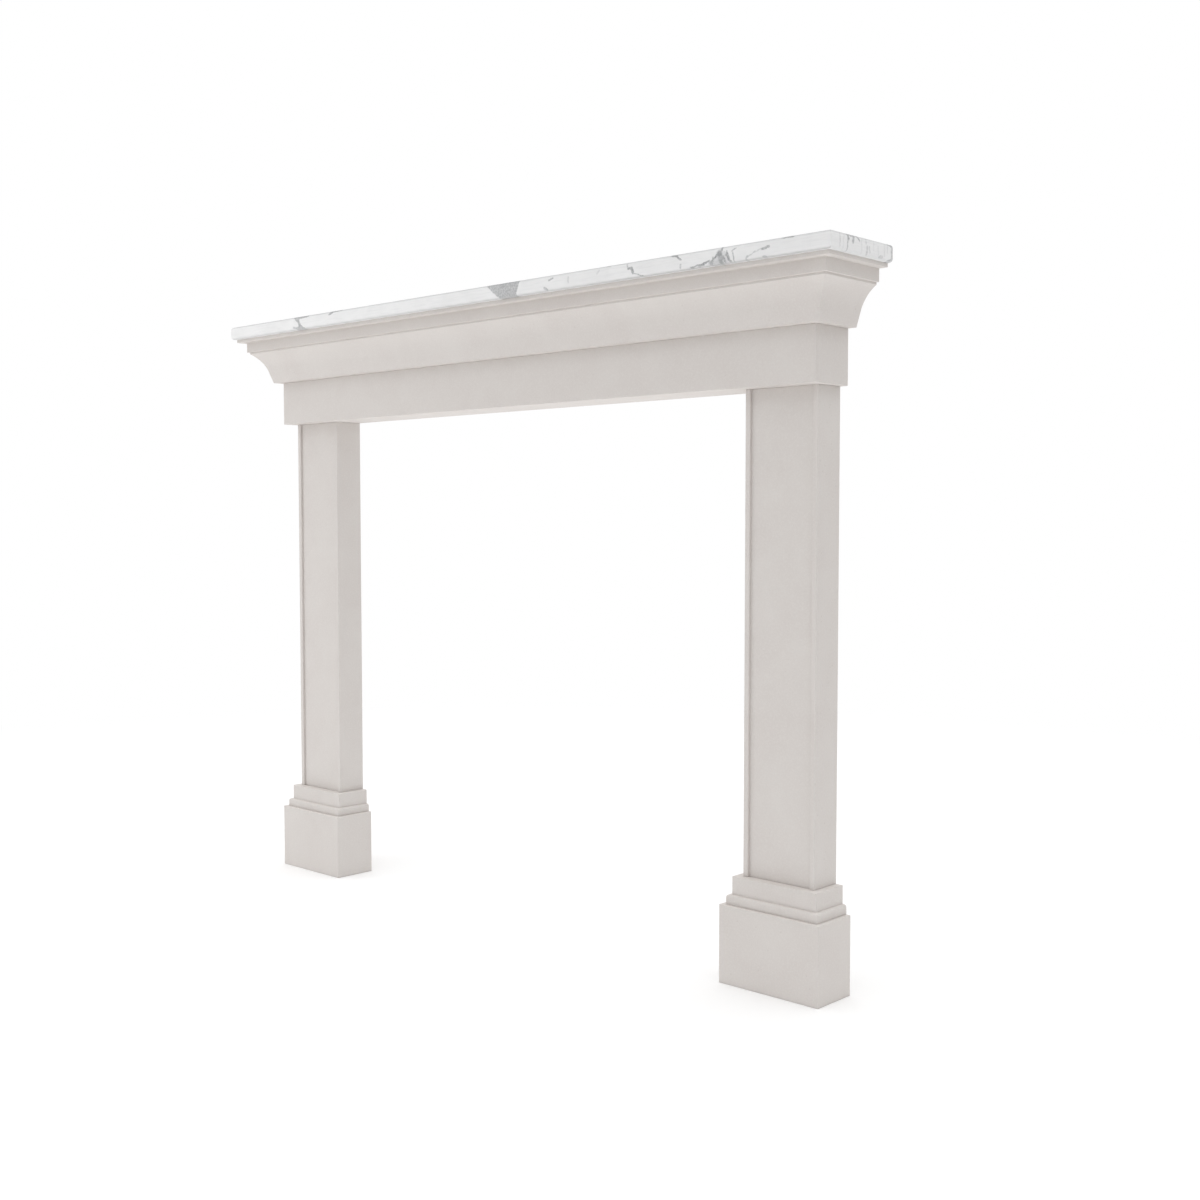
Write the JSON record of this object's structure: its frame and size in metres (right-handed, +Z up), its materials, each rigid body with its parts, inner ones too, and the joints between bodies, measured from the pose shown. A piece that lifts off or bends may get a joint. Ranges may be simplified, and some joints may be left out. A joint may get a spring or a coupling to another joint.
{
  "type": "fireplace mantelpiece",
  "caption": "Limestone fireplace surround: panelled legs on stepped plinths carry a plain frieze, a coved cornice and a veined marble shelf round a rectangular fire opening.",
  "frame": {"origin": "on the floor, under the middle of the shelf's depth and length", "axes": "+X to the right along the shelf, as seen from the room; +Y into the wall, so the moulded front faces -Y; +Z up"},
  "size_m": [1.5, 0.161, 1.139],
  "materials": {
    "marble": "honed white marble with grey veins",
    "limestone": "matt, fine-grained pale limestone"
  },
  "bodies": {
    "root": {"shelf": "marble", "cornice": "limestone", "frieze": "limestone", "leg_left": "limestone", "leg_right": "limestone", "base_left": "limestone", "base_right": "limestone", "plinth_left": "limestone", "plinth_right": "limestone"}
  },
  "joints": []
}
